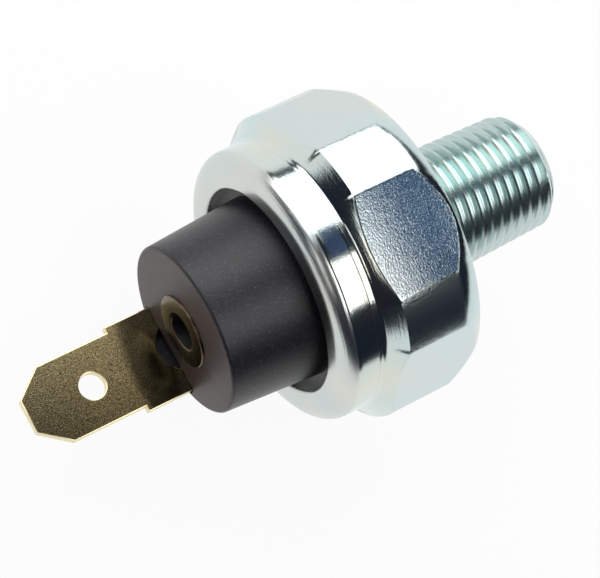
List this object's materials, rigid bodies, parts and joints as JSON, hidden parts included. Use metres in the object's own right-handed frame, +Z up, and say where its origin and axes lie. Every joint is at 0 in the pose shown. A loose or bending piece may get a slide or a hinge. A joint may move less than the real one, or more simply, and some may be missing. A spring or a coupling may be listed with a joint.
{
  "type": "oil pressure sender",
  "caption": "One-terminal oil pressure sender: hexagonal steel body with a tapered pipe thread, a crimped collar, a black insulator and a flat blade terminal.",
  "frame": {"origin": "on the axis, in the hexagon's rear face, where the thread starts", "axes": "+X along the axis out of the threaded end, +Z up as the sender lies on one flat of its hexagon"},
  "size_m": [0.0443, 0.0252, 0.0238],
  "materials": {
    "zinc_plated_steel": "bright blue-white zinc plating on machined steel",
    "seal_rubber": "matte moulded rubber",
    "diaphragm_film": "smooth amber film",
    "plate_steel": "plain stamped steel",
    "plunger_plastic": "brown moulded phenolic",
    "contact_brass": "plain stamped brass",
    "spring_steel": "drawn spring wire",
    "insulator_plastic": "black glass-filled moulding, fine matte grain",
    "terminal_brass": "yellow-passivated stamped sheet",
    "rivet_brass": "dull rolled brass tube"
  },
  "bodies": {
    "sender": {"body": "zinc_plated_steel", "seal_ring": "seal_rubber", "diaphragm": "diaphragm_film", "contact_plate": "plate_steel", "contact_spring": "spring_steel", "insulator": "insulator_plastic", "terminal": "terminal_brass", "rivet": "rivet_brass"},
    "contact_set": {"plunger": "plunger_plastic", "moving_contact": "contact_brass"}
  },
  "joints": [
    {"name": "contact_lift", "type": "slide", "parent": "sender", "child": "contact_set", "axis": [-1, 0, 0], "range_m": [0, 0.0006], "stiffness_N_per_m": 1500, "springref_m": -0.0015, "deforming": ["contact_spring"]}
  ]
}
